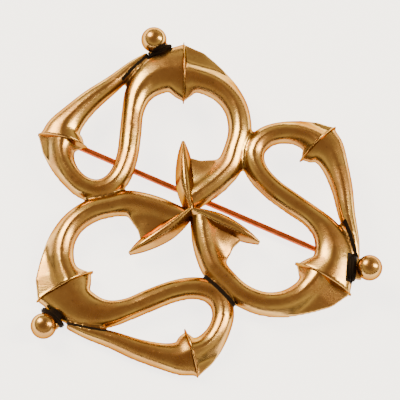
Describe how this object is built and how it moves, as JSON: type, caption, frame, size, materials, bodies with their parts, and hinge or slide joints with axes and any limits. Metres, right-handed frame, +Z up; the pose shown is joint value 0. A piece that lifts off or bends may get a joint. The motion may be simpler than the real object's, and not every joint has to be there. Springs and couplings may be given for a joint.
{
  "type": "fibula brooch",
  "caption": "Openwork cast brooch of equal curling lobes with ball knobs and pointed collars round a centre, with a hinged wire pin and an open catch behind.",
  "frame": {"origin": "middle of the bounding box in X and Y, at the height of the lowest point", "axes": "+Z up through the face of the brooch as it lies on its back, +Y towards the first knob, +X to the right seen from the face"},
  "size_m": [0.0556, 0.0582, 0.0083],
  "materials": {
    "cast_bronze": "polished golden bronze, smooth from casting and wear, with dark tarnish in the creases",
    "copper_wire": "smooth red copper wire",
    "rivet_bronze": "plain bronze with hammered heads"
  },
  "bodies": {
    "frame": {"frame": "cast_bronze", "hinge_rivet": "rivet_bronze"},
    "pin": {"pin": "copper_wire"}
  },
  "joints": [
    {"name": "pin_hinge", "type": "hinge", "parent": "frame", "child": "pin", "pos_m": [-0.02283, 0.01088, 0.00114], "axis": [0.4019, 0.9123, 0.0786], "range_deg": [0, 110]}
  ]
}
